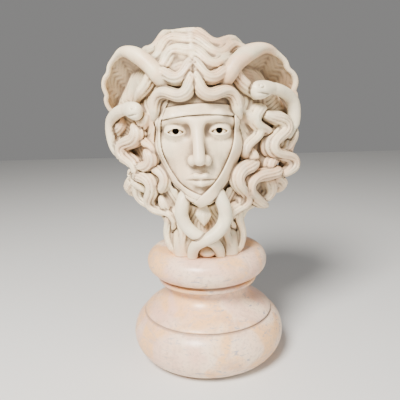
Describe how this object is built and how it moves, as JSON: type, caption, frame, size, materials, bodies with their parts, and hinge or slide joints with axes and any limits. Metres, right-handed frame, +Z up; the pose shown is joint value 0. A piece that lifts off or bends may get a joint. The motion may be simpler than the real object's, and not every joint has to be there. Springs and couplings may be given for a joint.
{
  "type": "gorgon mask",
  "caption": "Winged gorgon mask of white marble with snakes and wavy locks round a calm face, a brow band and chin straps, on a turned marble socle.",
  "frame": {"origin": "middle of the socle's flat underside", "axes": "+Z up through the socle's axis to the crown, -Y the way the face looks, +X to the mask's left hand, the viewer's right"},
  "size_m": [0.3171, 0.2514, 0.5261],
  "materials": {
    "mask_marble": "satin",
    "socle_marble": "satin"
  },
  "bodies": {
    "root": {"mask": "mask_marble", "socle": "socle_marble"}
  },
  "joints": []
}
